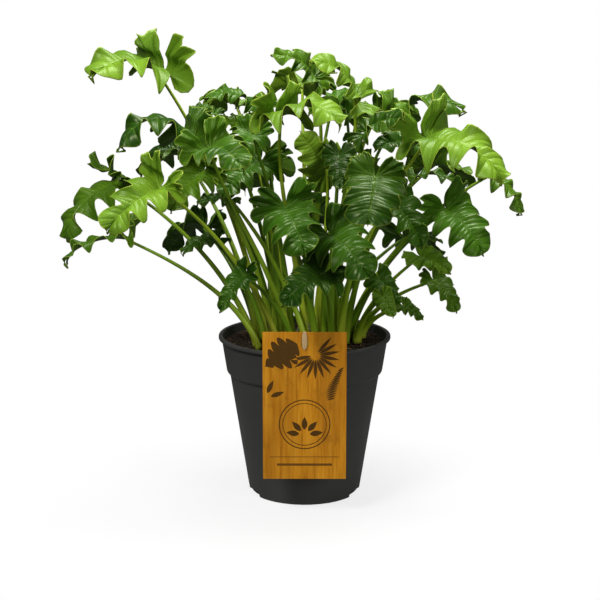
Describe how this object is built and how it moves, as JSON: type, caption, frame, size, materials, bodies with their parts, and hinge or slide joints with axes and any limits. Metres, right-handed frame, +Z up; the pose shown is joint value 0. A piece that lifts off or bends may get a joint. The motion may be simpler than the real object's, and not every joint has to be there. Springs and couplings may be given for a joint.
{
  "type": "potted philodendron",
  "caption": "Leafy potted philodendron with lobed, arching leaves on long stalks, in a tapered nursery pot with a hanging card.",
  "frame": {"origin": "centre of the pot's foot, on the plane that it stands on", "axes": "+Z up along the pot's axis; -Y towards the front, where the card hangs; +X to the right seen from the front"},
  "size_m": [0.3971, 0.2868, 0.4016],
  "materials": {
    "pot_plastic": "satin anthracite",
    "soil": "crumbly potting mix",
    "stem": "matte",
    "card_print": "satin wood print",
    "hook_plastic": "satin beige",
    "leaf_young": "glossy waxy leaf",
    "leaf_green": "glossy waxy leaf",
    "leaf_dark": "glossy waxy leaf"
  },
  "bodies": {
    "root": {"card": "card_print", "card_hook": "hook_plastic", "leaf_back_high": "leaf_young", "leaf_back_left": "leaf_green", "leaf_back_left_high": "leaf_young", "leaf_back_low": "leaf_dark", "leaf_back_low_left": "leaf_dark", "leaf_back_low_right": "leaf_dark", "leaf_back_middle_left": "leaf_green", "leaf_back_middle_right": "leaf_green", "leaf_back_right": "leaf_green", "leaf_back_right_high": "leaf_green", "leaf_curl": "leaf_dark", "leaf_dark_arch": "leaf_dark", "leaf_front_heart": "leaf_green", "leaf_front_low": "leaf_dark", "leaf_front_middle": "leaf_dark", "leaf_left_behind": "leaf_dark", "leaf_left_edge": "leaf_green", "leaf_left_far": "leaf_green", "leaf_left_front": "leaf_young", "leaf_left_inner": "leaf_green", "leaf_left_upper": "leaf_green", "leaf_low_far_right": "leaf_green", "leaf_low_left": "leaf_dark", "leaf_low_middle": "leaf_dark", "leaf_low_right": "leaf_dark", "leaf_lowest": "leaf_green", "leaf_middle_dark": "leaf_dark", "leaf_middle_left": "leaf_green", "leaf_middle_shaded": "leaf_dark", "leaf_olive": "leaf_green", "leaf_right_arch": "leaf_green", "leaf_right_bright": "leaf_young", "leaf_right_far": "leaf_green", "leaf_right_hanging": "leaf_dark", "leaf_right_low": "leaf_dark", "leaf_right_shaded": "leaf_dark", "leaf_right_small": "leaf_green", "leaf_right_thin_arch": "leaf_green", "leaf_round_small": "leaf_green", "leaf_small_dark": "leaf_dark", "leaf_thin_left": "leaf_dark", "leaf_thin_low_left": "leaf_dark", "leaf_top_crest": "leaf_young", "leaf_top_left": "leaf_young", "leaf_top_middle": "leaf_green", "leaf_upper_back": "leaf_dark", "leaf_upper_blue": "leaf_green", "leaf_upper_fan": "leaf_young", "leaf_upper_shaded": "leaf_green", "leaf_young_upright": "leaf_young", "pot": "pot_plastic", "soil": "soil", "stem": "stem"}
  },
  "joints": []
}
